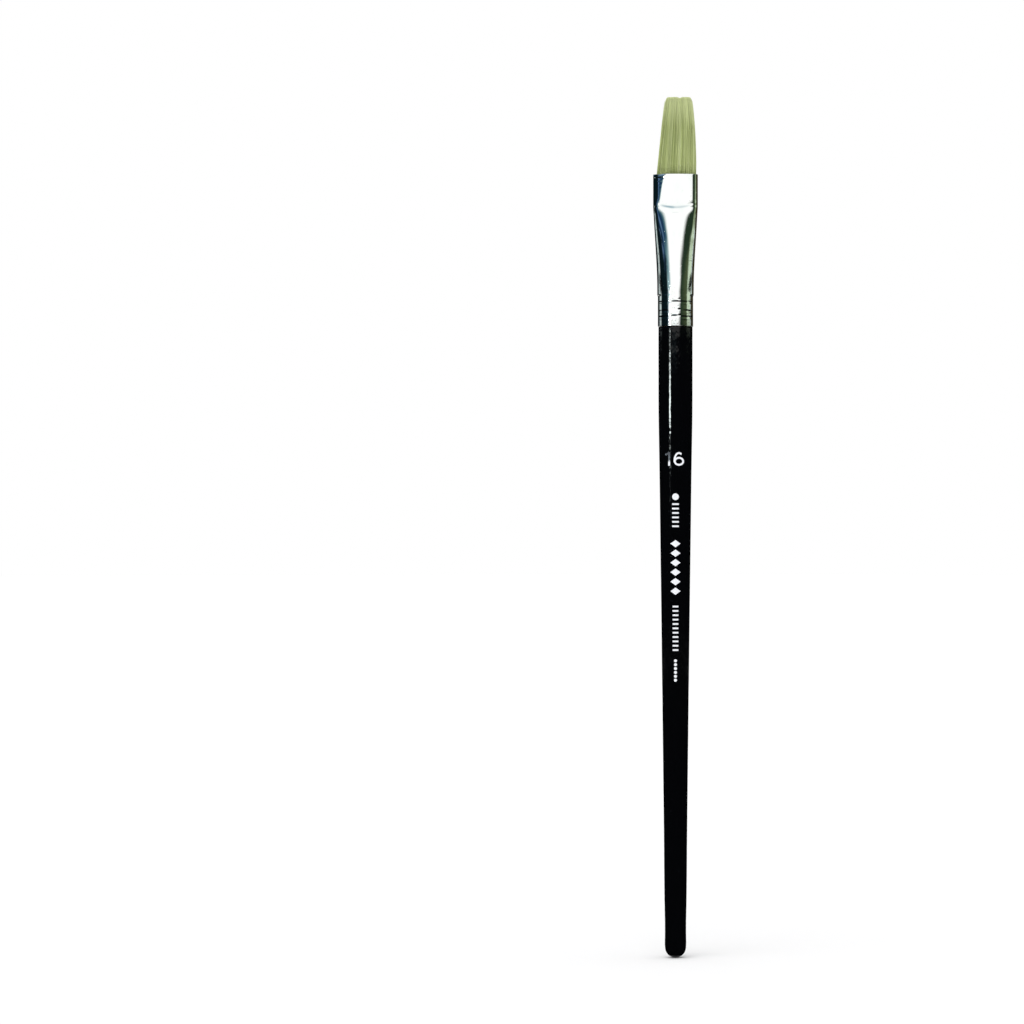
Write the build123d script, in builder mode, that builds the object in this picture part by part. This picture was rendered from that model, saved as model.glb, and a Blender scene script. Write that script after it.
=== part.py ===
"""A flat bristle brush, size 16: lacquered wooden handle, crimped aluminium ferrule and a head of natural bristle.

Frame, in millimetres: the origin is the tip of the handle, Z runs up the handle to the bristles, and X runs across the
wide face of the bristles. Each piece is made in its own section below and written to parts/ under its own name.
"""

import os
from math import cos, radians, sin

from build123d import *

# Heights along the brush.
LENGTH = 258.2  # tail of the handle to the tips of the bristles
MOUTH_Z = 234.9  # mouth of the ferrule, where the free bristles start
FLAT_Z = 225.4  # the ferrule is a flat oval above this
CONE_Z = 198.8  # and a round tube below this, with a cone between
SHOULDER_Z = 189.2  # shoulder of the handle, where the ferrule ends
GRIP_Z = 167.0  # the handle is a true cylinder from here to its shoulder

# Handle.
GRIP_R = 5.1
TAIL_R = 3.15
TAIL_TURN = 75.0  # degrees that the rounded tail turns before the taper starts
WAIST = (  # radius and height along the taper
    (3.2, 6.0), (3.27, 14.0), (3.46, 31.0), (3.77, 60.0), (4.14, 94.0), (4.55, 126.0), (4.76, 143.0), (4.94, 155.0),
)
LACQUER = 0.2
TENON_R = 4.8
TENON_END_R = 4.2
TENON_TOP_Z = 208.0
TENON_BEVEL = 1.0

# Ferrule: a drawn tube, pressed flat at its mouth and squeezed onto the tenon at its foot.
WALL = 0.4
BARREL_R = 5.28
CONE_R = 5.45
STEP = 0.6  # height of the slope between the barrel and the cone
OVAL_WIDTH = 13.4
OVAL_DEPTH = 5.4
ROUNDED = 45.0  # degrees of the front and back arcs of a round section, each side of the middle
FLARE = ((215.0, 9.4, 47.0), (222.0, 7.6, 50.0))  # height, depth and arc angle where the cone starts to flatten
GROOVE_HEIGHTS = (196.6, 193.8, 192.0)
GROOVE_WIDTH = 1.2
GROOVE_DEPTH = 0.16
RIM_ROUND = 0.12

# Bristles: width, depth and sideways lean of the head at three heights above the mouth.
HEAD_SECTIONS = ((0.0, 11.9, 4.3, 0.25), (11.5, 10.75, 3.5, 0.7), (22.4, 7.9, 2.2, 1.0))
HEAD_LENGTH = LENGTH - MOUTH_Z
TIP_ROUND = 0.6
ROOT_GAP = 0.3  # between the bound bristles and the wall of the ferrule
ROOT_Z = 214.0

# Adhesive and thread.
GLUE_BOTTOM_Z = 211.0
GLUE_TOP_Z = 219.0
GLUE_GAP = 0.02
THREAD_R = 0.2
THREAD_TURNS = 5
THREAD_PITCH = 0.42
THREAD_Z = 219.5
BOUND_WIDTH = 9.6  # the bundle where the thread squeezes it
BOUND_DEPTH = 4.6

# Printed marks on the lacquer.
INK = 0.04
NUMBER_Z = 149.5
NUMBER_HEIGHT = 4.06
STROKE = 0.56
INK_REACH = 10.0  # how far in front of the axis the printed outlines are cut from

os.makedirs("parts", exist_ok=True)


def handle_outline(grow, top):
    """Half outline of the handle up to its shoulder, in the XZ plane, grown outward by a distance."""
    tail = TAIL_R + grow
    turn = radians(TAIL_TURN)
    start = (tail * sin(turn), TAIL_R - tail * cos(turn))
    rest = [(radius + grow, height) for radius, height in WAIST]
    Line((0, top), (0, TAIL_R - tail))
    RadiusArc((0, TAIL_R - tail), start, -tail)
    Spline(start, *rest, (GRIP_R + grow, GRIP_Z), tangents=((cos(turn), sin(turn)), (0, 1)))
    Polyline((GRIP_R + grow, GRIP_Z), (GRIP_R + grow, top), (0, top))


def grooved_side(radius, low, high):
    """A straight side between two heights, with the rolled grooves of the crimp as shallow arcs."""
    at = low
    for height in sorted(GROOVE_HEIGHTS):
        below, above = height - GROOVE_WIDTH / 2, height + GROOVE_WIDTH / 2
        Line((radius, at), (radius, below))
        ThreePointArc((radius, below), (radius - GROOVE_DEPTH, height), (radius, above))
        at = above
    Line((radius, at), (radius, high))


def oval_outline(width, depth):
    """Two half circles joined by a flat front and back."""
    corner_x, corner_y = (width - depth) / 2, depth / 2
    for side in (1, -1):
        Line((side * corner_x, side * corner_y), (-side * corner_x, side * corner_y))
        ThreePointArc((side * corner_x, -side * corner_y), (side * width / 2, 0), (side * corner_x, side * corner_y))


def lens_outline(width, depth, angle):
    """A wide front and back arc and two smaller side arcs, tangent where they meet. Equal sizes make a circle.

    The front arc has radius wide and turns by the angle each side of the middle. The side arc has radius narrow. They
    meet at one corner, where both have the same normal, which gives two linear equations for the two radii.
    """
    across, along = sin(radians(angle)), cos(radians(angle))
    wide = (width / 2 * along - depth / 2 * (1 - across)) / (across + along - 1)
    narrow = (depth / 2 - wide * (1 - along)) / along
    corner_x, corner_y = wide * across, narrow * along
    for side in (1, -1):
        ends = ((side * corner_x, side * corner_y), (-side * corner_x, side * corner_y))
        ThreePointArc(ends[0], (0, side * depth / 2), ends[1])
        ThreePointArc((side * corner_x, -side * corner_y), (side * width / 2, 0), (side * corner_x, side * corner_y))


def lens_section(height, width, depth, angle):
    """A section of the cone as a face."""
    with BuildSketch(Plane.XY.offset(height)) as section:
        with BuildLine():
            lens_outline(width, depth, angle)
        make_face()
    return section.sketch


def oval_section(inset):
    """The flat oval at the foot of the mouth as a face."""
    with BuildSketch(Plane.XY.offset(FLAT_Z)) as section:
        with BuildLine():
            oval_outline(OVAL_WIDTH - 2 * inset, OVAL_DEPTH - 2 * inset)
        make_face()
    return section.sketch


def cone_sections(inset):
    """The round foot of the cone and the sections above it, widening evenly as they flatten."""
    growth = (OVAL_WIDTH - 2 * CONE_R) / (FLAT_Z - CONE_Z)
    sections = [lens_section(CONE_Z, 2 * (CONE_R - inset), 2 * (CONE_R - inset), ROUNDED)]
    for height, depth, angle in FLARE:
        width = 2 * CONE_R + growth * (height - CONE_Z)
        sections.append(lens_section(height, width - 2 * inset, depth - 2 * inset, angle))
    return sections


def ferrule_space(inset, mode=Mode.ADD):
    """The cone and the flat mouth as one solid, drawn in from the outside of the ferrule by the inset."""
    mouth = oval_section(inset)
    loft([*cone_sections(inset), mouth], ruled=True, mode=mode)
    extrude(mouth, amount=MOUTH_Z - FLAT_Z, mode=mode)


def keep_between(low, high):
    """Keeps what lies between two heights."""
    with BuildSketch(Plane.XY.offset(low)) as slab:
        Rectangle(2 * OVAL_WIDTH, 2 * OVAL_WIDTH)
    extrude(slab.sketch, amount=high - low, mode=Mode.INTERSECT)


def handle_solid(grow, mode, top=SHOULDER_Z):
    """The turned body of the handle, grown outward by a distance."""
    with BuildSketch(Plane.XZ) as profile:
        with BuildLine():
            handle_outline(grow, top)
        make_face()
    revolve(profile.sketch, axis=Axis.Z, mode=mode)


# Wooden handle, with its tenon up inside the ferrule. The grooves of the crimp press into the tenon.
with BuildPart() as handle_core:
    handle_solid(-LACQUER, Mode.ADD, SHOULDER_Z - LACQUER)
    with BuildSketch(Plane.XZ):
        with BuildLine():
            low = SHOULDER_Z - 2 * LACQUER
            grooved_side(TENON_R, low, CONE_Z)
            bevel = ((TENON_END_R, TENON_TOP_Z - TENON_BEVEL), (TENON_END_R - TENON_BEVEL, TENON_TOP_Z))
            Polyline((TENON_R, CONE_Z), *bevel, (0, TENON_TOP_Z), (0, low), (TENON_R, low))
        make_face()
    revolve(axis=Axis.Z)
handle_core.part.label = "handle_core"
export_step(handle_core.part, "parts/handle_core.step")

# Gloss lacquer over the handle and across its shoulder, open round the tenon.
with BuildPart() as handle_lacquer:
    handle_solid(0, Mode.ADD)
    add(handle_core.part, mode=Mode.SUBTRACT)
handle_lacquer.part.label = "handle_lacquer"
export_step(handle_lacquer.part, "parts/handle_lacquer.step")

# Ferrule. The barrel, its grooves and the slope up to the cone are turned, the rest is lofted.
with BuildPart() as ferrule:
    ferrule_space(0)
    ferrule_space(WALL, Mode.SUBTRACT)
    with BuildSketch(Plane.XZ):
        with BuildLine():
            slope_z = CONE_Z - STEP
            grooved_side(BARREL_R, SHOULDER_Z, slope_z)
            Polyline((BARREL_R, slope_z), (CONE_R, CONE_Z), (CONE_R - WALL, CONE_Z), (BARREL_R - WALL, slope_z))
            grooved_side(BARREL_R - WALL, SHOULDER_Z, slope_z)
            Line((BARREL_R - WALL, SHOULDER_Z), (BARREL_R, SHOULDER_Z))
        make_face()
    revolve(axis=Axis.Z)
    rims = ferrule.edges().filter_by(Plane.XY).group_by(Axis.Z)[-1]
    fillet(rims, RIM_ROUND)
ferrule.part.label = "ferrule"
export_step(ferrule.part, "parts/ferrule.step")

# The bound length of the bristles inside the ferrule, narrower where the thread squeezes it.
with BuildPart() as tuft_root:
    ferrule_space(WALL + ROOT_GAP)
    keep_between(ROOT_Z, MOUTH_Z)
    low = THREAD_Z - THREAD_PITCH
    with BuildSketch(Plane.XY.offset(low)):
        Rectangle(2 * OVAL_WIDTH, 2 * OVAL_WIDTH)
        SlotOverall(BOUND_WIDTH, BOUND_DEPTH, mode=Mode.SUBTRACT)
    extrude(amount=(THREAD_TURNS + 1) * THREAD_PITCH, mode=Mode.SUBTRACT)
tuft_root.part.label = "tuft_root"
export_step(tuft_root.part, "parts/tuft_root.step")

# Thread wound round the root, as closed turns beside each other.
with BuildPart() as root_thread:
    path_width = BOUND_WIDTH + 2 * THREAD_R
    path_depth = BOUND_DEPTH + 2 * THREAD_R
    for turn in range(THREAD_TURNS):
        height = THREAD_Z + turn * THREAD_PITCH
        with BuildLine(Plane.XY.offset(height)) as route:
            oval_outline(path_width, path_depth)
        with BuildSketch(Plane(origin=(0, path_depth / 2, height), x_dir=(0, 1, 0), z_dir=(1, 0, 0))):
            Circle(THREAD_R)
        sweep(path=route.wires()[0])
root_thread.part.label = "root_thread"
export_step(root_thread.part, "parts/root_thread.step")

# Cured adhesive: a plug under the root, with a thin wall up round it.
with BuildPart() as glue_plug:
    ferrule_space(WALL + GLUE_GAP)
    keep_between(GLUE_BOTTOM_Z, GLUE_TOP_Z)
    add(tuft_root.part, mode=Mode.SUBTRACT)
glue_plug.part.label = "glue_plug"
export_step(glue_plug.part, "parts/glue_plug.step")

# Free bristles, thinner and narrower towards their tips and leaning a little to +X.
with BuildPart() as tuft:
    for rise, width, depth, lean in HEAD_SECTIONS:
        with BuildSketch(Plane.XY.offset(MOUTH_Z + rise)):
            with Locations((lean, 0)):
                SlotOverall(width, depth)
    loft()
    top = tuft.faces().sort_by(Axis.Z)[-1]
    extrude(top, amount=HEAD_LENGTH - HEAD_SECTIONS[-1][0])
    fillet(tuft.edges().group_by(Axis.Z)[-1], TIP_ROUND)
tuft.part.label = "tuft"
export_step(tuft.part, "parts/tuft.step")


def ink_film():
    """Turns what has been extruded into a thin film on the front of the lacquer."""
    handle_solid(INK, Mode.INTERSECT)
    handle_solid(0, Mode.SUBTRACT)


# The size, a plain 16.
ONE_X = -1.9
SIX_X = 1.04
BOWL = (1.52, 1.32)
ARM = (1.62, 2.48)
FLAG = ((-1.25, -0.5), (-1.05, -1.0), (0, -0.6))  # outline of the flag of the 1, from the top of its stem
KEPT_ARM = ((0, 0), (1.2, 3), (-3, 3), (-3, -0.6), (0, -0.6))  # what is kept of the ring that draws the arm of the 6
bowl_z = NUMBER_Z - NUMBER_HEIGHT / 2 + BOWL[1]
arm_z = NUMBER_Z + NUMBER_HEIGHT / 2 - ARM[1]

with BuildSketch(Plane.XZ) as six_arm:
    with Locations((SIX_X, arm_z)):
        Ellipse(*ARM)
        Ellipse(ARM[0] - STROKE, ARM[1] - STROKE, mode=Mode.SUBTRACT)
        Polygon(*KEPT_ARM, align=None, mode=Mode.INTERSECT)

with BuildPart() as size_number:
    with BuildSketch(Plane.XZ.offset(INK_REACH)):
        top_z = NUMBER_Z + NUMBER_HEIGHT / 2
        with Locations((ONE_X, NUMBER_Z)):
            Rectangle(STROKE, NUMBER_HEIGHT)
        Polygon((ONE_X, top_z), *[(ONE_X + x, top_z + z) for x, z in FLAG], align=None)
        with Locations((SIX_X, bowl_z)):
            Ellipse(*BOWL)
        add(six_arm.sketch)
        with Locations((SIX_X, bowl_z)):
            Ellipse(BOWL[0] - STROKE, BOWL[1] - STROKE, mode=Mode.SUBTRACT)
    extrude(amount=-INK_REACH)
    ink_film()
size_number.part.label = "size_number"
export_step(size_number.part, "parts/size_number.step")

# A generic ornament down the handle: a disc, then rows of ticks, diamonds, ticks and dots.
DISC_Z = 138.2
DISC_R = 1.0
TICK_ROWS = ((136.0, 129.4, 6, 2.0, 0.5), (105.4, 92.4, 11, 1.7, 0.5))  # top, bottom, count, width and height
DIAMOND_ROW = (124.2, 110.0, 6, 3.0, 2.2)
DOT_ROW = (89.2, 83.4, 6, 0.45)


def heights(top, bottom, count):
    """Even steps down the handle."""
    return [top + (bottom - top) * i / (count - 1) for i in range(count)]


with BuildPart() as print_marks:
    with BuildSketch(Plane.XZ.offset(INK_REACH)):
        with Locations((0, DISC_Z)):
            Circle(DISC_R)
        for top, bottom, count, width, height in TICK_ROWS:
            with Locations(*[(0, z) for z in heights(top, bottom, count)]):
                Rectangle(width, height)
        top, bottom, count, width, height = DIAMOND_ROW
        with Locations(*[(0, z) for z in heights(top, bottom, count)]):
            Polygon((width / 2, 0), (0, height / 2), (-width / 2, 0), (0, -height / 2))
        top, bottom, count, radius = DOT_ROW
        with Locations(*[(0, z) for z in heights(top, bottom, count)]):
            Circle(radius)
    extrude(amount=-INK_REACH)
    ink_film()
print_marks.part.label = "print_marks"
export_step(print_marks.part, "parts/print_marks.step")
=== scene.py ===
from math import cos, pi, radians, sin

import bpy
import numpy as np
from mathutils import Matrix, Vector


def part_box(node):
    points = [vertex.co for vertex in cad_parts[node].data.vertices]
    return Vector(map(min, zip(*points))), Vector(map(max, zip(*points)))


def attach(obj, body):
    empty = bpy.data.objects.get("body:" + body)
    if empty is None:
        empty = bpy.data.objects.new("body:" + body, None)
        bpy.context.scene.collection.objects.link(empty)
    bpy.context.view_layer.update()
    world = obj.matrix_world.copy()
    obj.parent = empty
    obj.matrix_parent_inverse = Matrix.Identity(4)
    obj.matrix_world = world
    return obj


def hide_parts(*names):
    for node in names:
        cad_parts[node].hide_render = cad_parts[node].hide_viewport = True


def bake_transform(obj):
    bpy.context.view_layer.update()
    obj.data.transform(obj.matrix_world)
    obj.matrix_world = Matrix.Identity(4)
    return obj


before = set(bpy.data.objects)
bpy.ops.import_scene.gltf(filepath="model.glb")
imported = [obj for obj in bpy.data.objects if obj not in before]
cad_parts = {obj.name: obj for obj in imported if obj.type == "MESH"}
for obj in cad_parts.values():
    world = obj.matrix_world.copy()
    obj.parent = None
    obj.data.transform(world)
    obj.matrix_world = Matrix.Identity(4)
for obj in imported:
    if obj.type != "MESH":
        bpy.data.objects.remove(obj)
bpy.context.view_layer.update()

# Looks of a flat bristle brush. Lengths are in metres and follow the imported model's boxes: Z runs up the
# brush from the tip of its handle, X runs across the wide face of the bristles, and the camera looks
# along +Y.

MM = 0.001
BODY, HEAD = "brush_body", "bristle_head"

ferrule_low, ferrule_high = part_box("ferrule")
tuft_low, tuft_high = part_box("tuft")
MOUTH = tuft_low.z
TIP = tuft_high.z
SHOULDER = ferrule_low.z


# Node helpers -------------------------------------------------------------------------------------

def new_material(name):
    """A new material, its node tree and its Principled shader."""
    material = bpy.data.materials.new(name)
    material.use_nodes = True
    tree = material.node_tree
    shader = tree.nodes["Principled BSDF"]
    return material, tree, shader


def node(tree, kind, **values):
    """A shader node. Values named after its inputs go to their sockets, the rest are properties."""
    made = tree.nodes.new(kind)
    for key, value in values.items():
        if key in made.inputs:
            made.inputs[key].default_value = value
        else:
            setattr(made, key, value)
    return made


def ramp(tree, fac, stops):
    """A colour ramp over a value."""
    made = tree.nodes.new("ShaderNodeValToRGB")
    elements = made.color_ramp.elements
    while len(elements) < len(stops):
        elements.new(0.5)
    for element, (place, colour) in zip(elements, stops):
        element.position = place
        element.color = (*colour, 1)
    tree.links.new(fac, made.inputs["Fac"])
    return made.outputs["Color"]


def object_place(tree, scale):
    """The point on the object, stretched by a scale along each axis."""
    place = tree.nodes.new("ShaderNodeTexCoord")
    mapping = tree.nodes.new("ShaderNodeMapping")
    mapping.inputs["Scale"].default_value = scale
    tree.links.new(place.outputs["Object"], mapping.inputs["Vector"])
    return mapping.outputs["Vector"]


def noise(tree, vector, scale, detail=3.0, roughness=0.5):
    """Noise at a place."""
    made = node(tree, "ShaderNodeTexNoise", Scale=scale, Detail=detail, Roughness=roughness)
    tree.links.new(vector, made.inputs["Vector"])
    return made.outputs["Fac"]


def bump(tree, height, distance, strength=1.0, normal=None):
    """Fine relief from a height value."""
    made = node(tree, "ShaderNodeBump", Strength=strength, Distance=distance)
    tree.links.new(height, made.inputs["Height"])
    if normal is not None:
        tree.links.new(normal, made.inputs["Normal"])
    return made.outputs["Normal"]


def attribute(tree, name):
    """A value stored on the mesh's points."""
    return node(tree, "ShaderNodeAttribute", attribute_name=name).outputs["Fac"]


def span(tree, value, low, high, out_low, out_high):
    """A value mapped from one range to another."""
    limits = {"From Min": low, "From Max": high, "To Min": out_low, "To Max": out_high}
    made = node(tree, "ShaderNodeMapRange", **limits)
    tree.links.new(value, made.inputs["Value"])
    return made.outputs["Result"]


def mix(tree, fac, first, second):
    """Two colours, sockets or plain ones, mixed by a value."""
    made = tree.nodes.new("ShaderNodeMix")
    made.data_type = "RGBA"
    colour_inputs = [socket for socket in made.inputs if socket.enabled]
    for socket, value in zip(colour_inputs, (fac, first, second)):
        if hasattr(value, "links"):
            tree.links.new(value, socket)
        else:
            socket.default_value = (*value, 1)
    return next(socket for socket in made.outputs if socket.enabled)


# Materials ----------------------------------------------------------------------------------------

def lacquer_material():
    """Black dipped lacquer: deep gloss, a slight ripple, and a few dust specks under the surface."""
    material, tree, shader = new_material("lacquer_black")
    shader.inputs["Specular IOR Level"].default_value = 0.3
    shader.inputs["IOR"].default_value = 1.48
    ripple = noise(tree, object_place(tree, (1, 1, 0.5)), 620, 2.0)
    orange_peel = noise(tree, object_place(tree, (1, 1, 1)), 1500, 2.0)
    speck = noise(tree, object_place(tree, (1, 1, 0.6)), 3200, 1.0)
    colour = ramp(tree, speck, [(0.0, (0.0008, 0.001, 0.0014)), (0.7, (0.0012, 0.0013, 0.0018)),
                                (0.85, (0.008, 0.009, 0.011))])
    tree.links.new(colour, shader.inputs["Base Color"])
    gloss = noise(tree, object_place(tree, (1, 1, 0.1)), 160, 4.0)
    tree.links.new(span(tree, gloss, 0.3, 0.7, 0.03, 0.075), shader.inputs["Roughness"])
    rough = bump(tree, orange_peel, 0.006 * MM, 0.5)
    tree.links.new(bump(tree, ripple, 0.05 * MM, 0.65, rough), shader.inputs["Normal"])
    return material


def aluminium_material():
    """Polished drawn aluminium: faint draw lines along the tube, small pits, and painted dark blue shade
    along the pressed crease.
    """
    material, tree, shader = new_material("aluminium_polished")
    shader.inputs["Metallic"].default_value = 1.0
    lines = noise(tree, object_place(tree, (1, 1, 0.03)), 2600, 4.0, 0.6)
    pits = noise(tree, object_place(tree, (1, 1, 1)), 1900, 2.0, 0.5)
    cloud = noise(tree, object_place(tree, (1, 1, 0.5)), 300, 4.0)
    metal_tone = ramp(tree, cloud, [(0.3, (0.86, 0.89, 0.89)), (0.7, (0.95, 0.96, 0.95))])
    # The crease value is painted shade: it darkens the metal towards dark blue along the press crease.
    painted_crease_shade = attribute(tree, "crease")
    colour = mix(tree, painted_crease_shade, metal_tone, (0.03, 0.19, 0.27))
    tree.links.new(colour, shader.inputs["Base Color"])
    tree.links.new(span(tree, cloud, 0.3, 0.75, 0.035, 0.085), shader.inputs["Roughness"])
    fine = bump(tree, lines, 0.004 * MM, 0.5)
    pitted = bump(tree, span(tree, pits, 0.62, 0.8, 1.0, 0.0), 0.02 * MM, 0.25, fine)
    tree.links.new(pitted, shader.inputs["Normal"])
    return material


def bristle_material():
    """Bleached hog bristle: each hair its own olive straw, mottled, and paler at its flagged tip."""
    material, tree, shader = new_material("hog_bristle")
    shade = attribute(tree, "shade")
    along = attribute(tree, "along")
    hair = ramp(tree, shade, [(0.0, (0.24, 0.285, 0.085)), (0.35, (0.38, 0.445, 0.165)),
                              (0.7, (0.50, 0.57, 0.24)), (1.0, (0.68, 0.74, 0.40))])
    mottle = noise(tree, object_place(tree, (1, 1, 0.12)), 900, 3.0)
    streaked = mix(tree, span(tree, mottle, 0.35, 0.7, 0.0, 0.35), hair, (0.30, 0.35, 0.11))
    tipped = mix(tree, span(tree, along, 0.6, 0.95, 0.0, 0.6), streaked, (0.72, 0.78, 0.42))
    tree.links.new(tipped, shader.inputs["Base Color"])
    tree.links.new(span(tree, mottle, 0.3, 0.7, 0.42, 0.62), shader.inputs["Roughness"])
    shader.inputs["Specular IOR Level"].default_value = 0.35
    shader.inputs["Sheen Weight"].default_value = 0.15
    shader.inputs["Sheen Roughness"].default_value = 0.5
    scales = noise(tree, object_place(tree, (1, 1, 0.5)), 6000, 2.0)
    tree.links.new(bump(tree, scales, 0.004 * MM, 0.4), shader.inputs["Normal"])
    return material


WHITE_INK = (0.84, 0.86, 0.9)
DULL_INK = (0.03, 0.04, 0.055)
INK_WEAR_X = (-1.35 * MM, -1.5 * MM)  # across, from whole ink to rubbed ink
INK_WEAR_Z = (148.5 * MM, 149.1 * MM)  # up, from whole ink to rubbed ink


def ink_material(name):
    """White screen ink, a little uneven, rubbed thin on the left of the numeral."""
    material, tree, shader = new_material(name)
    cover = noise(tree, object_place(tree, (1, 1, 1)), 2400, 3.0)
    even = ramp(tree, cover, [(0.3, tuple(0.9 * c for c in WHITE_INK)), (0.7, WHITE_INK)])
    tree.links.new(mix(tree, worn_mask(tree), even, DULL_INK), shader.inputs["Base Color"])
    tree.links.new(span(tree, cover, 0.3, 0.7, 0.4, 0.55), shader.inputs["Roughness"])
    tree.links.new(bump(tree, cover, 0.004 * MM, 0.5), shader.inputs["Normal"])
    return material


def worn_mask(tree):
    """Where the ink has rubbed thin: on the left, above the foot of the numeral's first digit."""
    place = node(tree, "ShaderNodeSeparateXYZ")
    tree.links.new(object_place(tree, (1, 1, 1)), place.inputs["Vector"])
    left = span(tree, place.outputs["X"], *INK_WEAR_X, 0.0, 1.0)
    up = span(tree, place.outputs["Z"], *INK_WEAR_Z, 0.0, 0.95)
    product = node(tree, "ShaderNodeMath", operation="MULTIPLY")
    tree.links.new(left, product.inputs[0])
    tree.links.new(up, product.inputs[1])
    return product.outputs[0]


def wood_material():
    """Pale beech: long grain along the handle."""
    material, tree, shader = new_material("beech")
    grain = noise(tree, object_place(tree, (1, 1, 0.04)), 700, 6.0, 0.6)
    colour = ramp(tree, grain, [(0.3, (0.48, 0.3, 0.15)), (0.55, (0.66, 0.46, 0.26)),
                                (0.75, (0.74, 0.56, 0.35))])
    tree.links.new(colour, shader.inputs["Base Color"])
    tree.links.new(span(tree, grain, 0.3, 0.7, 0.5, 0.7), shader.inputs["Roughness"])
    tree.links.new(bump(tree, grain, 0.03 * MM, 0.6), shader.inputs["Normal"])
    return material


def glue_material():
    """Amber cured adhesive."""
    material, tree, shader = new_material("amber_adhesive")
    cloud = noise(tree, object_place(tree, (1, 1, 1)), 500, 3.0)
    colour = ramp(tree, cloud, [(0.3, (0.38, 0.19, 0.04)), (0.7, (0.55, 0.32, 0.09))])
    tree.links.new(colour, shader.inputs["Base Color"])
    tree.links.new(span(tree, cloud, 0.3, 0.7, 0.15, 0.3), shader.inputs["Roughness"])
    tree.links.new(bump(tree, cloud, 0.03 * MM, 0.4), shader.inputs["Normal"])
    return material


def thread_material():
    """Twisted cotton thread."""
    material, tree, shader = new_material("cotton_thread")
    twist = node(tree, "ShaderNodeTexWave", Scale=900.0, Distortion=1.5, Detail=2.0)
    twist.bands_direction = "DIAGONAL"
    tree.links.new(object_place(tree, (1, 1, 1)), twist.inputs["Vector"])
    colour = ramp(tree, twist.outputs["Fac"], [(0.2, (0.5, 0.46, 0.38)), (0.8, (0.8, 0.77, 0.68))])
    tree.links.new(colour, shader.inputs["Base Color"])
    tree.links.new(span(tree, twist.outputs["Fac"], 0.0, 1.0, 0.6, 0.85), shader.inputs["Roughness"])
    tree.links.new(bump(tree, twist.outputs["Fac"], 0.03 * MM, 0.7), shader.inputs["Normal"])
    return material


# Mesh helpers -------------------------------------------------------------------------------------

def mesh_piece(name, points, faces, material):
    """A smooth mesh object from points and faces."""
    mesh = bpy.data.meshes.new(name)
    mesh.from_pydata([tuple(p) for p in points], [], faces)
    mesh.validate()
    mesh.polygons.foreach_set("use_smooth", [True] * len(mesh.polygons))
    mesh.materials.append(material)
    mesh.update()
    piece = bpy.data.objects.new(name, mesh)
    bpy.context.scene.collection.objects.link(piece)
    return piece


def point_values(piece, name, values):
    """Stores one number on each point of a mesh."""
    stored = piece.data.attributes.new(name, "FLOAT", "POINT")
    stored.data.foreach_set("value", np.asarray(values, np.float32))


def tube_faces(rows, around, closed_rows=False):
    """Quads over a stack of closed rings. With closed_rows the last ring joins the first."""
    faces = []
    for r in range(rows if closed_rows else rows - 1):
        low, high = r * around, ((r + 1) % rows) * around
        for a in range(around):
            b = (a + 1) % around
            faces.append((low + a, low + b, high + b, high + a))
    return faces


def smooth_curve(keys):
    """A monotone cubic through (place, value) keys, as a function."""
    x, y = (np.array(c, float) for c in zip(*keys))
    step, rise = np.diff(x), np.diff(y) / np.diff(x)
    slope = np.zeros(len(x))
    slope[0], slope[-1] = rise[0], rise[-1]
    for i in range(1, len(x) - 1):
        if rise[i - 1] * rise[i] > 0:
            slope[i] = 2 * rise[i - 1] * rise[i] / (rise[i - 1] + rise[i])

    def at(value):
        i = np.clip(np.searchsorted(x, value) - 1, 0, len(x) - 2)
        t = np.clip((value - x[i]) / step[i], 0, 1)
        return ((1 + 2 * t) * (1 - t) ** 2 * y[i] + t * (1 - t) ** 2 * step[i] * slope[i]
                + t * t * (3 - 2 * t) * y[i + 1] + t * t * (t - 1) * step[i] * slope[i + 1])

    return at


# Handle -------------------------------------------------------------------------------------------

TAIL_R = 3.15 * MM
TAIL_TOP = 12 * MM  # the rows are closer together below this height
TENON_R = 4.8 * MM
SHOULDER_EASE = 0.25 * MM
KEY_GAP = 0.3 * MM
SMOOTHING_REACH = 12  # mm up and down the taper
SMOOTHING_WIDTH = 7 * MM
COAT_UNEVENNESS = 0.0012 * MM


def outer_profile(name):
    """(height, radius) keys along the outward faces of a turned CAD node."""
    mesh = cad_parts[name].data
    found = {}
    for polygon in mesh.polygons:
        for index in polygon.vertices:
            point = mesh.vertices[index].co
            reach = point.xy.length
            outward = polygon.normal.x * point.x + polygon.normal.y * point.y
            if outward > 0.5 * reach and reach > 0.01 * MM:
                height = round(point.z, 6)
                found[height] = max(found.get(height, 0), reach)
    keys = sorted(found.items())
    thinned = [keys[0]]
    for key in keys[1:]:
        if key[0] - thinned[-1][0] > KEY_GAP:
            thinned.append(key)
    return thinned


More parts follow.
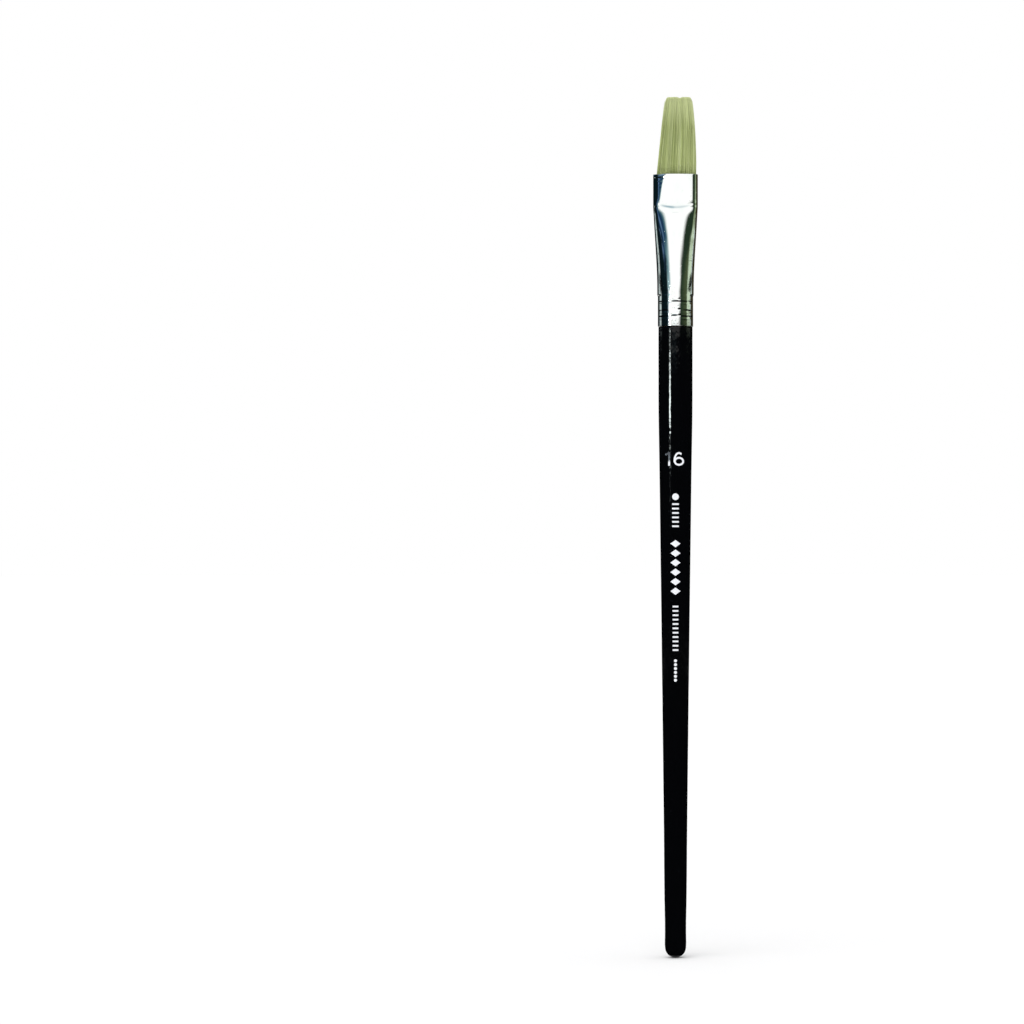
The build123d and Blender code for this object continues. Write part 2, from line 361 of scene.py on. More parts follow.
def make_handle():
    """The lacquered handle as one turned skin with a rounded tail and shoulder, its coat barely uneven."""
    around = 128
    turned = smooth_curve(outer_profile("handle_lacquer"))
    low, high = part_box("handle_lacquer")
    top = high.z
    spread = np.linspace(-SMOOTHING_REACH, SMOOTHING_REACH, 49) * MM
    weight = np.exp(-((spread / SMOOTHING_WIDTH) ** 2))

    def radius_at(z):
        """The turned radius with the faint waves of the taper sanded out."""
        share = np.clip(min((z - low.z) / (24 * MM), (top - z) / (10 * MM)), 0, 1)
        return float((turned(np.clip(z + share * spread, low.z, top)) * weight).sum() / weight.sum())

    ease = SHOULDER_EASE
    rows = [(TAIL_R * sin(a), low.z + TAIL_R * (1 - cos(a))) for a in np.linspace(0.03, radians(74), 18)]
    heights = np.concatenate([np.linspace(rows[-1][1], TAIL_TOP, 12)[1:],
                              np.linspace(TAIL_TOP, top - ease, 420)[1:]])
    rows += [(radius_at(z), z) for z in heights]
    grip = rows[-1][0]
    quarter = np.linspace(0, pi / 2, 6)[1:]
    rows += [(grip - ease * (1 - cos(a)), top - ease + ease * sin(a)) for a in quarter]
    rows += [(TENON_R, top)]
    angles = np.arange(around) / around * 2 * pi
    draw = np.random.default_rng(16)
    waves = [(draw.uniform(40, 420), draw.integers(1, 4), draw.uniform(0, 2 * pi), draw.uniform(0.3, 1))
             for _ in range(14)]
    points = []
    for radius, z in rows:
        uneven = sum(size * np.sin(rate * z + turns * angles + start) for rate, turns, start, size in waves)
        fade = np.clip((z - low.z) / (8 * MM), 0, 1) * np.clip((top - z) / (2 * MM), 0, 1)
        reach = radius + COAT_UNEVENNESS * uneven * fade
        points += list(zip(reach * np.cos(angles), reach * np.sin(angles), np.full(around, z)))
    faces = tube_faces(len(rows), around)
    points.append((0, 0, low.z))
    pole = len(points) - 1
    faces += [(pole, (a + 1) % around, a) for a in range(around)]
    piece = mesh_piece("handle_lacquer_coat", points, faces, lacquer_material())
    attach(piece, BODY)
    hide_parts("handle_lacquer")
    return piece


# Ferrule ------------------------------------------------------------------------------------------

WALL = 0.4 * MM
BARREL_R = 5.28 * MM
CONE_R = 5.45 * MM
CONE_Z = 198.8 * MM
STEP = 0.6 * MM
PRESS_Z = 225.8 * MM
HALF_WIDTH = (ferrule_high.x - ferrule_low.x) / 2
HALF_DEPTH = 2.7 * MM
RIM = 0.12 * MM
GROOVES = (196.35 * MM, 193.7 * MM, 191.9 * MM)
GROOVE_HALF_WIDTH = 0.3 * MM
GROOVE_DEPTH = 0.007 * MM
GROOVE_LIP = 0.002 * MM
NICKS = ((0.4 * MM, 196.4 * MM, 1.35 * MM, 0.022 * MM),  # across, up, half length and depth
         (-0.3 * MM, 192.15 * MM, 0.75 * MM, 0.014 * MM))
NICK_HALF_WIDTH = 0.27 * MM
DIMPLES = ((1.15 * MM, 197.2 * MM), (1.1 * MM, 194.1 * MM), (1.2 * MM, 192.35 * MM),
           (-3.4 * MM, 193.75 * MM))
DIMPLE_R = 0.3 * MM
DIMPLE_DEPTH = 0.014 * MM
CREASE_SAG = 0.95 * MM
CREASE_REACH = 3.4 * MM
CREASE_HALF_WIDTH = 0.34 * MM
CHAMFER_SLOPE = 0.3
CHAMFER_EASE = 0.16 * MM

# The ferrule's outline up its length: its half width, the same with the step at the cone's foot drawn out
# for the front, its half depth, and half the angle that its front and back arcs turn through.
BARREL_KEYS = [(SHOULDER, BARREL_R), (CONE_Z - STEP, BARREL_R)]
FLAT_KEYS = [(PRESS_Z - 4 * MM, HALF_WIDTH - 0.2 * MM), (PRESS_Z, HALF_WIDTH), (MOUTH, HALF_WIDTH)]
CONE_KEYS = [(CONE_Z, CONE_R), (CONE_Z + 3.2 * MM, CONE_R + 0.03 * MM)]
half_width_at = smooth_curve(BARREL_KEYS + CONE_KEYS + FLAT_KEYS)
SOFT_TOP = CONE_Z + 7 * MM
soft_width_at = smooth_curve(BARREL_KEYS + [(SOFT_TOP, half_width_at(SOFT_TOP))] + FLAT_KEYS)
half_depth_at = smooth_curve([
    (SHOULDER, BARREL_R), (CONE_Z + 1 * MM, BARREL_R), (208 * MM, 5.06 * MM), (215 * MM, 4.7 * MM),
    (218.3 * MM, 4.33 * MM), (221.2 * MM, 3.93 * MM), (223 * MM, 3.6 * MM),
    (PRESS_Z - 0.5 * MM, 2.83 * MM), (PRESS_Z + 0.6 * MM, HALF_DEPTH), (MOUTH, HALF_DEPTH)])
arc_angle_at = smooth_curve([
    (SHOULDER, 45), (CONE_Z, 45), (215 * MM, 45), (218.3 * MM, 36), (221.2 * MM, 31), (223 * MM, 27),
    (224.4 * MM, 21), (PRESS_Z, 14.5), (PRESS_Z + 1.5 * MM, 13), (MOUTH, 13)])


def section(half_width, half_depth, angle, per_arc):
    """A closed ring of points: two side arcs and a wide front and back arc, tangent where they meet."""
    across, along = sin(radians(angle)), cos(radians(angle))
    wide = (half_width * along - half_depth * (1 - across)) / (across + along - 1)
    narrow = (half_depth - wide * (1 - along)) / along
    t = np.arange(per_arc) / per_arc * 2 - 1
    side = t * radians(90 - angle)
    face = t * radians(angle)
    side_x, side_y = half_width - narrow + narrow * np.cos(side), narrow * np.sin(side)
    face_x, face_y = -wide * np.sin(face), half_depth - wide + wide * np.cos(face)
    x = np.concatenate([side_x, face_x, -side_x, -face_x])
    y = np.concatenate([side_y, face_y, -side_y, -face_y])
    return x, y


def groove_depth(z, bearing):
    """How far the rolled crimps are pressed in, each with a small lip above and below. They fade in front."""
    depth = 0.0
    for place in GROOVES:
        off = (z - place) / GROOVE_HALF_WIDTH
        depth += GROOVE_DEPTH * np.exp(-off * off) - GROOVE_LIP * np.exp(-((abs(off) - 1.9) ** 2) * 2)
    front = np.exp(-(((bearing + 0.05) / 0.55) ** 4))
    wheel = 1 + 0.6 * np.sin(9 * bearing + z / (0.7 * MM))
    return depth * (1 - front) * wheel


def crimp_marks(x, y, z):
    """Lens-shaped nicks left by the crimping jaws on the front, and small round dimples beside them."""
    push = np.zeros(len(x))
    for at_x, at_z, half_length, depth in NICKS:
        push += depth * np.exp(-(((x - at_x) / half_length) ** 4) - ((z - at_z) / NICK_HALF_WIDTH) ** 2)
    for at_x, at_z in DIMPLES:
        push += DIMPLE_DEPTH * np.exp(-((x - at_x) ** 2 + (z - at_z) ** 2) / DIMPLE_R ** 2)
    return push * (y < 0)


def lag_at_step(x, y, z):
    """How far the cone stays inside its outline above the step: the step is soft in front."""
    share = np.abs(x) / np.hypot(x, y)
    side = np.clip((share - 0.8) / 0.19, 0, 1)
    return (half_width_at(z) - soft_width_at(z)) * share ** 2 * (1 - side * side * (3 - 2 * side))


def press_crease(x, z, half_width):
    """Lowers the edge of the pressed flat in the middle of the face, as a shallow smile."""
    reach = np.clip(1 - (x / (0.8 * half_width)) ** 2, 0, 1)
    near = np.exp(-(((z - PRESS_Z) / CREASE_REACH) ** 2))
    return z - CREASE_SAG * reach * near


def corner_chamfer(x, y, z):
    """A slanted facet that the press left on the front's left edge. It widens fast at the mouth."""
    rise = np.clip((z - PRESS_Z) / (MOUTH - PRESS_Z), 0, 1)
    widening = (0.5 + 0.35 * sin(46 * rise)) * rise ** 6
    edge = (-4.95 + 1.45 * rise + widening) * MM
    past = 0.5 * (edge - x + np.sqrt((edge - x) ** 2 + CHAMFER_EASE ** 2))
    slope = CHAMFER_SLOPE * np.clip(rise * 5, 0, 1) * np.clip(-y / (1.2 * MM), 0, 1) * (x < 0)
    return y + slope * past


def make_ferrule():
    """The seamless tube with its real wall: crimped barrel, step, cone, pressed flat and rounded rims."""
    per_arc = 60
    around = 4 * per_arc
    above_step, below_crease, above_crease = CONE_Z + 0.6 * MM, PRESS_Z - 1.4 * MM, PRESS_Z + 0.8 * MM
    heights = np.unique(np.round(np.concatenate([
        np.arange(SHOULDER + RIM, above_step, 0.06 * MM), np.linspace(above_step, 219 * MM, 60),
        np.linspace(219 * MM, below_crease, 34), np.linspace(below_crease, above_crease, 40),
        np.linspace(above_crease, MOUTH - RIM, 40)]), 6))
    turn = np.linspace(0, pi, 9)[1:-1]
    # Once round the wall: up the outside, over the mouth, down the inside and under the shoulder.
    path = [(0.0, z, 1.0) for z in heights]
    for a in turn:
        inset = RIM * (1 - cos(a)) if a < pi / 2 else WALL - RIM * (1 - abs(cos(a)))
        path.append((inset, MOUTH - RIM + RIM * sin(a), 0.0))
    path += [(WALL, z, 0.0) for z in np.linspace(MOUTH - RIM, SHOULDER + RIM, 48)]
    for a in turn:
        inset = WALL - RIM * (1 - cos(a)) if a < pi / 2 else RIM * (1 - abs(cos(a)))
        path.append((inset, SHOULDER + RIM - RIM * sin(a), 0.0))
    points, crease = [], []
    for inset, z, outside in path:
        half_width, half_depth = half_width_at(z) - inset, half_depth_at(z) - inset
        x, y = section(half_width, half_depth, arc_angle_at(z), per_arc)
        reach = np.hypot(x, y)
        pressed = groove_depth(z, np.arctan2(x, -y)) + lag_at_step(x, y, z)
        x, y = x * (1 - pressed / reach), y * (1 - pressed / reach)
        y = y + crimp_marks(x, y, z)
        if z > PRESS_Z:
            y = corner_chamfer(x, y + inset, z) - inset
        level = press_crease(x, z, half_width)
        # Painted shade for the press crease: strongest in the middle of the face and towards its left, on the
        # outside only.
        middle = np.clip(1 - (np.abs(x) / (0.7 * half_width)) ** 4, 0, 1)
        line = np.exp(-(((z - PRESS_Z) / CREASE_HALF_WIDTH) ** 2)) * middle
        fade = 0.56 - 0.2 * np.tanh((x + 0.5 * MM) / (0.6 * MM))
        points += list(zip(x, y, level))
        crease += list(np.clip(fade * line, 0, 1) * outside)
    faces = tube_faces(len(path), around, closed_rows=True)
    piece = mesh_piece("ferrule_tube", points, faces, aluminium_material())
    point_values(piece, "crease", crease)
    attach(piece, BODY)
    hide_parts("ferrule")
    return piece


# Bristles -----------------------------------------------------------------------------------------

HEAD_LENGTH = TIP - MOUTH
ROOT_HALF_WIDTH = 5.96 * MM
ROOT_HALF_DEPTH = 2.15 * MM
TIP_HALF_DEPTH = 1.05 * MM
HAIR_PITCH = 0.19 * MM
HAIR_RADII = (0.075, 0.11)  # mm, where the free hairs leave the mouth
ROOT_RADII = (0.075, 0.105)  # mm
ROOT_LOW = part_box("tuft_root")[0].z
thread_low, thread_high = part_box("root_thread")
THREAD_R = 0.2 * MM
PLY_R = 0.98 * THREAD_R  # keeps the ridges of the plies inside the thread


def head_left(share):
    """The left edge of the head, from the mouth to the tips."""
    return (-5.71 + 0.25 * share ** 0.5 + 2.55 * share ** 1.2) * MM


def head_right(share):
    """The right edge of the head, fuller than the left."""
    return (6.21 + 0.25 * share ** 0.5 - 1.55 * share ** 2.1) * MM


def head_half_depth(share):
    """Half the depth of the head, thinner towards the tips."""
    return ROOT_HALF_DEPTH + (TIP_HALF_DEPTH - ROOT_HALF_DEPTH) * share ** 0.9


def tip_height(across, through, draw):
    """Where a hair ends: two low lobes with a dip between, rounded at the corners and both faces."""
    corner = 1.5 * MM * np.clip((np.abs(across) - 0.8) / 0.2, 0, 1) ** 2.4
    dip = 0.3 * MM * np.exp(-((across - 0.06) / 0.13) ** 2) + 0.12 * MM * across ** 2
    chisel = 0.5 * MM * through ** 2
    return HEAD_LENGTH - corner - dip - chisel - abs(draw.normal(0, 0.1)) * MM


def hair_layout():
    """Where each hair stands in the oval of the mouth, as shares of its half width and half depth."""
    draw = np.random.default_rng(1600)
    flat = ROOT_HALF_WIDTH - ROOT_HALF_DEPTH
    places = []
    for row, y in enumerate(np.arange(-ROOT_HALF_DEPTH, ROOT_HALF_DEPTH, HAIR_PITCH * 0.866)):
        for x in np.arange(-ROOT_HALF_WIDTH, ROOT_HALF_WIDTH, HAIR_PITCH):
            x0 = x + (row % 2) * HAIR_PITCH / 2 + draw.normal(0, 0.18) * HAIR_PITCH
            y0 = y + draw.normal(0, 0.18) * HAIR_PITCH
            chamfered = y0 < -ROOT_HALF_DEPTH + 0.34 * max(-3.2 * MM - x0, 0)
            if np.hypot(max(abs(x0) - flat, 0), y0) < ROOT_HALF_DEPTH - 0.07 * MM and not chamfered:
                places.append((x0 / ROOT_HALF_WIDTH, y0 / ROOT_HALF_DEPTH))
    return places


def strands(name, lines, sides):
    """One mesh of tapered strands, each (x, y, z, radius, shade, along), all arrays but the shade."""
    turns = np.arange(sides) / sides * 2 * pi
    points, faces, shades, alongs = [], [], [], []
    for x, y, z, radius, shade, along in lines:
        first, rings = len(points), len(z)
        ring_x = x[:, None] + radius[:, None] * np.cos(turns)
        ring_y = y[:, None] + radius[:, None] * np.sin(turns)
        ring_z = np.repeat(z[:, None], sides, axis=1)
        points += list(zip(ring_x.ravel(), ring_y.ravel(), ring_z.ravel()))
        points.append((x[-1], y[-1], z[-1] + 0.04 * MM))
        shades += [shade] * (rings * sides + 1)
        alongs += list(np.repeat(along, sides)) + [along[-1]]
        for r in range(rings - 1):
            low = first + r * sides
            for a in range(sides):
                b = (a + 1) % sides
                faces.append((low + a, low + b, low + sides + b, low + sides + a))
        last, tip = first + (rings - 1) * sides, first + rings * sides
        faces += [(last + a, last + (a + 1) % sides, tip) for a in range(sides)]
        faces.append(tuple(first + a for a in reversed(range(sides))))
    piece = mesh_piece(name, points, faces, bristle_material())
    point_values(piece, "shade", shades)
    point_values(piece, "along", alongs)
    return piece


def make_bristles(places):
    """The free hairs, each its own tapered strand, drawn in towards the tips."""
    draw = np.random.default_rng(1601)
    rings = 11
    streaks = smooth_curve([(place, draw.uniform(-0.17, 0.17)) for place in np.linspace(-1.1, 1.1, 62)])
    lines = []
    for across, through in places:
        length = tip_height(across, through, draw)
        rise = np.linspace(0, 1, rings) ** 0.85 * length
        rise[0] = -0.3 * MM
        share = np.clip(rise / HEAD_LENGTH, 0, 1)
        wander_x, wander_y = draw.normal(0, 0.07, 2) * MM
        bow_x, bow_y = draw.normal(0, 0.08, 2) * MM
        start_x, start_y = draw.uniform(0, 2 * pi, 2)
        left, right = head_left(share), head_right(share)
        x = (left + right) / 2 + across * (right - left) / 2
        y = through * head_half_depth(share)
        x = x + share * wander_x + bow_x * np.sin(pi * share + start_x) * share
        y = y + share * wander_y + bow_y * np.sin(pi * share + start_y) * share
        radius = draw.uniform(*HAIR_RADII) * MM * (1 - 0.5 * share ** 1.5)
        radius[-1] *= 0.5
        shade = np.clip(0.5 + streaks(across) + draw.normal(0, 0.26), 0, 1)
        lines.append((x, y, MOUTH + rise, radius, shade, share))
    piece = strands("bristles", lines, 5)
    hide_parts("tuft")
    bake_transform(piece)


def make_bristle_root(places):
    """The same hairs inside the ferrule, squeezed together where the thread ties them."""
    draw = np.random.default_rng(1602)
    tie = (thread_low.z + thread_high.z) / 2
    levels = (ROOT_LOW, tie - 2 * MM, tie, tie + 3 * MM, MOUTH)
    squeeze_x = smooth_curve(list(zip(levels, (0.86, 0.82, 0.78, 0.86, 1.0))))
    squeeze_y = smooth_curve(list(zip(levels, (1.35, 1.12, 1.04, 1.0, 0.98))))
    middle = smooth_curve([(ROOT_LOW, 0.0), (tie, 0.0), (MOUTH, 0.25 * MM)])
    lines = []
    for across, through in places:
        low = ROOT_LOW + draw.uniform(0, 0.5) * MM
        z = np.concatenate([np.linspace(low, tie - 1.4 * MM, 3), [tie, tie + 1.4 * MM, tie + 3 * MM],
                            np.linspace(tie + 6 * MM, MOUTH, 4)])
        x = middle(z) + across * ROOT_HALF_WIDTH * squeeze_x(z)
        y = through * ROOT_HALF_DEPTH * squeeze_y(z)
        radius = np.full(len(z), draw.uniform(*ROOT_RADII) * MM)
        lines.append((x, y, z, radius, np.clip(0.3 + draw.normal(0, 0.15), 0, 1), np.zeros(len(z))))
    piece = strands("bristle_root", lines, 4)
    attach(piece, BODY)
    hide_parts("tuft_root")


def make_thread():
    """The tie: three-ply cotton wound round the root, with its plies as real ridges."""
    turns, per_turn, around = 5, 150, 12
    half_width, half_depth = thread_high.x - THREAD_R, thread_high.y - THREAD_R
    flat = half_width - half_depth
    t = np.linspace(0, turns, turns * per_turn)
    angle = 2 * pi * t
    centre_x = half_depth * np.cos(angle) + flat * np.tanh(4 * np.cos(angle))
    centre_y = half_depth * np.sin(angle)
    centre_z = thread_low.z + THREAD_R + (thread_high.z - thread_low.z - 2 * THREAD_R) * t / turns
    out = np.stack([np.cos(angle), np.sin(angle)], axis=1)
    ring = np.arange(around) / around * 2 * pi
    points = []
    for i in range(len(t)):
        ply = 1 - 0.14 * (1 - np.abs(np.cos(1.5 * (ring + 60 * t[i]))))
        reach, lift = PLY_R * ply * np.cos(ring), PLY_R * ply * np.sin(ring)
        x, y = centre_x[i] + reach * out[i, 0], centre_y[i] + reach * out[i, 1]
        points += list(zip(x, y, centre_z[i] + lift))
    faces = tube_faces(len(t), around)
    faces.append(tuple(range(around - 1, -1, -1)))
    faces.append(tuple(range((len(t) - 1) * around, len(t) * around)))
    piece = mesh_piece("root_thread_winding", points, faces, thread_material())
    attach(piece, BODY)
    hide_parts("root_thread")


# Stage --------------------------------------------------------------------------------------------

def srgb(r, g, b):
    """A display colour as linear light."""
    return tuple((c / 255 / 12.92) if c <= 10 else ((c / 255 + 0.055) / 1.055) ** 2.4 for c in (r, g, b))


WHITE, GLARE = (1.12, 1.12, 1.1), (1.4, 1.4, 1.36)
PEARL, CREAM = srgb(196, 208, 206), srgb(206, 224, 196)
BLACK, NIGHT, FOREST, BARK = srgb(5, 7, 9), srgb(10, 24, 28), srgb(36, 52, 38), srgb(54, 50, 32)
NAVY, BLUE, TEAL, MIST = srgb(26, 54, 84), srgb(104, 134, 172), srgb(78, 116, 124), srgb(164, 188, 192)
MOSS, SAGE, SLATE = srgb(76, 88, 60), srgb(126, 142, 106), srgb(150, 180, 186)
DUSK, DAWN = srgb(84, 112, 120), srgb(130, 160, 166)

# What the metal and the lacquer see around them, at heights up a round wall. Each row is (height, stops),
# and each stop is (degrees from -Y towards +X, colour). The front is white for the ferrule's bright band,
# the left is dark blue and the right dark green for its sides. Below the ferrule's reflection it is black.
BLACK_ROW = ((-180, BLACK), (180, BLACK))
LEFT_STRIP = ((-180, NIGHT), (-131, NIGHT), (-124, PEARL), (-108, PEARL))
RIGHT_STRIP = ((34, FOREST), (78, MOSS), (85, CREAM))
GLARE_ROW = (*LEFT_STRIP, (-103, NIGHT), (-56, NIGHT), (-50, NAVY), (-44, GLARE), (18, GLARE),
             *RIGHT_STRIP, (102, CREAM), (116, PEARL), (124, BARK), (180, BARK))


def grey_row(left, colour, right):
    """Black all round but for a grey patch in front, which the lacquer's top shows."""
    return ((-180, BLACK), (left, BLACK), (-20, colour), (2, colour), (right, BLACK), (180, BLACK))


ROOM = (
    (0.000, BLACK_ROW),
    (0.240, BLACK_ROW),
    (0.256, grey_row(-27, DUSK, 11)),
    (0.266, grey_row(-27, DAWN, 11)),
    (0.271, grey_row(-29, MIST, 12)),
    (0.2725, GLARE_ROW),
    (0.281, GLARE_ROW),
    (0.286, (*LEFT_STRIP, (-103, NIGHT), (-56, NIGHT), (-50, NAVY), (-44, WHITE), (19, WHITE),
             *RIGHT_STRIP, (102, CREAM), (114, PEARL), (122, BARK), (180, BARK))),
    (0.300, (*LEFT_STRIP, (-102, NIGHT), (-56, NIGHT), (-48, SLATE), (-38, SLATE), (-30, WHITE),
             (19, WHITE), *RIGHT_STRIP, (104, CREAM), (114, BARK), (180, BARK))),
    (0.345, ((-180, NIGHT), (-56, NIGHT), (-48, SLATE), (-38, SLATE), (-28, WHITE), (24, WHITE),
             (36, FOREST), (74, MOSS), (82, CREAM), (96, SAGE), (103, BARK), (180, BARK))),
    (0.388, ((-180, NIGHT), (-76, NIGHT), (-68, BLUE), (-62, NAVY), (-54, NIGHT), (-46, TEAL),
             (-38, SLATE), (-28, WHITE), (28, WHITE), (36, FOREST), (74, FOREST), (84, SAGE),
             (96, MOSS), (104, BARK), (180, BARK))),
    (0.400, ((-180, NIGHT), (-72, NIGHT), (-62, NAVY), (-52, TEAL), (-38, MIST), (-30, WHITE),
             (22, WHITE), (34, FOREST), (70, FOREST), (80, SAGE), (96, SAGE), (104, BARK), (180, BARK))),
    (0.520, ((-180, NIGHT), (-70, NIGHT), (-65, NAVY), (-60, BLUE), (-56, NAVY), (-50, NAVY),
             (-43, TEAL), (-34, WHITE), (32, WHITE), (44, FOREST), (74, FOREST), (82, SAGE),
             (96, SAGE), (104, BARK), (180, BARK))),
    (1.200, ((-180, NIGHT), (-72, NIGHT), (-66, NAVY), (-60, BLUE), (-55, NAVY), (-48, NAVY),
             (-41, TEAL), (-30, WHITE), (36, WHITE), (46, FOREST), (74, FOREST), (84, SAGE),
             (96, SAGE), (106, BARK), (180, BARK))),
    (2.600, ((-180, MIST), (-60, MIST), (-40, WHITE), (40, WHITE), (60, MIST), (180, MIST))),
)
ROOM_RADIUS = 1.5

# What the metal sees on the floor, beyond DARK_FLOOR from the brush. Nearer than that the floor is black.
FAR_FLOOR = ((-180, PEARL), (-150, WHITE), (-120, WHITE), (-104, NIGHT), (-60, NIGHT), (-46, SLATE),
             (-34, WHITE), (30, WHITE), (44, FOREST), (70, FOREST), (82, CREAM), (100, CREAM),
             (112, BARK), (136, BARK), (150, PEARL), (180, PEARL))
DARK_FLOOR = 0.4

# The strip behind the brush that draws a soft line down the lacquer's back.
REAR_BEARINGS = (166, 172, 180, 188, 194)
REAR_GLOW = 2.6

# The tall lamp that draws the streak down the front of the lacquer: (height up the wall, brightness).
LAMP_BEARING = -38.3
LAMP_WIDTH = 4.3
LAMP_COLOUR = (0.9, 1.0, 0.98)
LAMP = ((0.1455, 0), (0.148, 1), (0.151, 8), (0.154, 44), (0.162, 54), (0.178, 56), (0.197, 56),
        (0.210, 62), (0.225, 38), (0.240, 38), (0.2535, 22), (0.2565, 2), (0.2588, 1), (0.2603, 5),
        (0.2618, 1), (0.2641, 3), (0.2655, 1), (0.2673, 11), (0.269, 2), (0.2705, 6), (0.272, 0))


def colour_at(bearing, stops):
    """The colour at a bearing between (bearing, colour) stops."""
    return [np.interp(bearing, [b for b, _ in stops], [c[i] for _, c in stops]) for i in range(3)]


def room_colour(bearing, height):
    """The colour of the surrounding wall at a bearing and a height, with the lamp on top of it."""
    levels = [level for level, _ in ROOM]
    colours = np.array([colour_at(bearing, stops) for _, stops in ROOM])
    wall = np.array([np.interp(height, levels, colours[:, i]) for i in range(3)])
    lamp = np.interp(height, [h for h, _ in LAMP], [power for _, power in LAMP])
    beam = np.exp(-(((bearing - LAMP_BEARING) / LAMP_WIDTH) ** 4))
    return wall + lamp * beam * np.array(LAMP_COLOUR)


def emission(name):
    """Glow in the colour stored on the points of a mesh."""
    material = bpy.data.materials.new(name)
    material.use_nodes = True
    tree = material.node_tree
    tree.nodes.clear()
    out = tree.nodes.new("ShaderNodeOutputMaterial")
    glow = node(tree, "ShaderNodeEmission", Strength=1.0)
    stored = node(tree, "ShaderNodeAttribute", attribute_name="tint")
    tree.links.new(stored.outputs["Color"], glow.inputs["Color"])
    tree.links.new(glow.outputs["Emission"], out.inputs["Surface"])
    return material


def reflection_only(name, points, faces, colours):
    """A glowing mesh that only gloss and metal see."""
    piece = mesh_piece(name, points, faces, emission(name))
    tint = piece.data.color_attributes.new("tint", "FLOAT_COLOR", "POINT")
    tint.data.foreach_set("color", np.array([(*colour, 1) for colour in colours], np.float32).ravel())
    piece.visible_camera = False
    piece.visible_diffuse = False
    piece.visible_shadow = False
    piece.visible_transmission = False
    return piece


def floor_sheet(name, height, reaches, bearings, colour, lit):
    """A flat fan of glow just over the floor, which lights one piece only. The rest see it as black."""
    points = [(reach * sin(radians(a)), -reach * cos(radians(a)), height)
              for reach in reaches for a in bearings]
    colours = [colour(reach, a) for reach in reaches for a in bearings]
    count = len(bearings)
    faces = [(r * count + i, r * count + i + 1, (r + 1) * count + i + 1, (r + 1) * count + i)
             for r in range(len(reaches) - 1) for i in range(count - 1)]
    sheet = reflection_only(name, points, faces, colours)
    group = bpy.data.collections.new(name + "_lights")
    group.objects.link(lit)
    sheet.light_linking.receiver_collection = group


def make_room(metal, lacquer):
    """The wall all round, a sheet over the floor for the metal, and a strip behind for the lacquer."""
    bearings = np.arange(-180, 180, 1.5)
    heights = np.unique(np.round(np.concatenate([
        [0.0005, 0.1], np.arange(0.12, 0.25, 0.005), np.arange(0.25, 0.3, 0.001),
        np.arange(0.3, 0.41, 0.005), np.arange(0.42, 1.2, 0.04), np.arange(1.2, 2.61, 0.1)]), 4))
    points, colours = [], []
    for height in heights:
        for bearing in bearings:
            angle = radians(bearing)
            points.append((ROOM_RADIUS * sin(angle), -ROOM_RADIUS * cos(angle), height))
            colours.append(room_colour(bearing, height))
    reflection_only("room_wall", points, tube_faces(len(heights), len(bearings)), colours)

    def floor_colour(reach, bearing):
        return BLACK if reach < DARK_FLOOR else colour_at(bearing, FAR_FLOOR)

    def strip_colour(reach, bearing):
        return [REAR_GLOW * np.clip((14 - abs(bearing - 180)) / 6, 0, 1)] * 3

    reaches = (0.002, 0.05, DARK_FLOOR - 0.02, DARK_FLOOR + 0.04, 1.49)
    floor_sheet("room_floor_sheet", 0.0004, reaches, np.linspace(-180, 180, 121), floor_colour, metal)
    floor_sheet("room_rear_strip", 0.0006, (0.004, 1.48), REAR_BEARINGS, strip_colour, lacquer)


FLOOR_RADIUS = 6


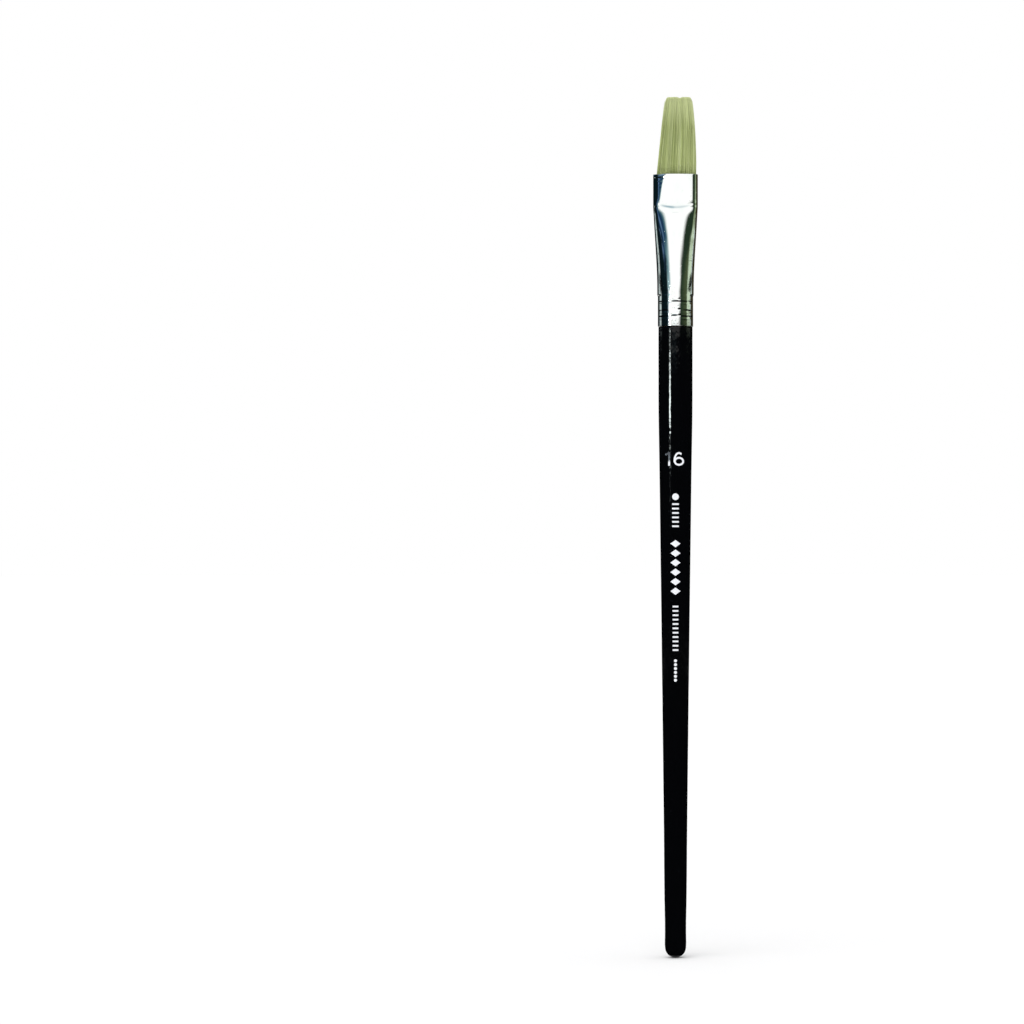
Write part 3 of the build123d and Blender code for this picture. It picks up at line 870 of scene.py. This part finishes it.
def make_floor():
    """A wide white floor."""
    around = 48
    turns = [2 * pi * i / around for i in range(around)]
    points = [(0, 0, 0)] + [(FLOOR_RADIUS * cos(a), FLOOR_RADIUS * sin(a), 0) for a in turns]
    faces = [(0, 1 + i, 1 + (i + 1) % around) for i in range(around)]
    material, tree, shader = new_material("floor_white")
    paper = noise(tree, object_place(tree, (1, 1, 1)), 60, 3.0)
    colour = ramp(tree, paper, [(0.3, (0.81, 0.81, 0.813)), (0.7, (0.814, 0.814, 0.818))])
    tree.links.new(colour, shader.inputs["Base Color"])
    shader.inputs["Roughness"].default_value = 0.9
    shader.inputs["Specular IOR Level"].default_value = 0.0
    piece = mesh_piece("floor", points, faces, material)


def make_lights():
    """An even white room and one broad soft key from high in front, which throws the shadow behind."""
    world = bpy.data.worlds.new("room")
    world.use_nodes = True
    world.node_tree.nodes["Background"].inputs["Color"].default_value = (1, 1, 1, 1)
    world.node_tree.nodes["Background"].inputs["Strength"].default_value = 1.0
    bpy.context.scene.world = world
    data = bpy.data.lights.new("key", "SUN")
    data.energy = 0.98
    data.angle = radians(50)
    lamp = bpy.data.objects.new("key", data)
    lamp.rotation_euler = (radians(32), 0, radians(-28))
    lamp.visible_glossy = False
    bpy.context.scene.collection.objects.link(lamp)


CAMERA_DISTANCE = 1.0
CAMERA_HEIGHT = 133.65 * MM
FRAME_WIDTH = 307.2 * MM  # how much of the brush's plane the picture spans
BRUSH_OFFSET = 49.05 * MM  # how far the brush stands to the right of the picture's middle


def make_camera():
    """Level and straight in front of the brush, with the frame shifted to the brush's left."""
    data = bpy.data.cameras.new("camera")
    data.sensor_width = 36
    data.lens = 36 * CAMERA_DISTANCE / FRAME_WIDTH
    data.shift_x = -BRUSH_OFFSET / FRAME_WIDTH
    data.clip_end = 100
    camera = bpy.data.objects.new("camera", data)
    camera.location = (0, -CAMERA_DISTANCE, CAMERA_HEIGHT)
    camera.rotation_euler = (pi / 2, 0, 0)
    bpy.context.scene.collection.objects.link(camera)
    bpy.context.scene.camera = camera


def finish_cad(name, material):
    """Gives a CAD node that is shown as it is its material."""
    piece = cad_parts[name]
    piece.data.materials.clear()
    piece.data.materials.append(material)


make_camera()
coat = make_handle()
tube = make_ferrule()
layout = hair_layout()
make_bristles(layout)
make_bristle_root(layout)
make_thread()
finish_cad("size_number", ink_material("ink_number"))
finish_cad("print_marks", ink_material("ink_marks"))
finish_cad("handle_core", wood_material())
finish_cad("glue_plug", glue_material())
make_floor()
make_room(tube, coat)
make_lights()
bpy.context.scene.view_settings.view_transform = "Standard"
bpy.context.scene.view_settings.look = "None"
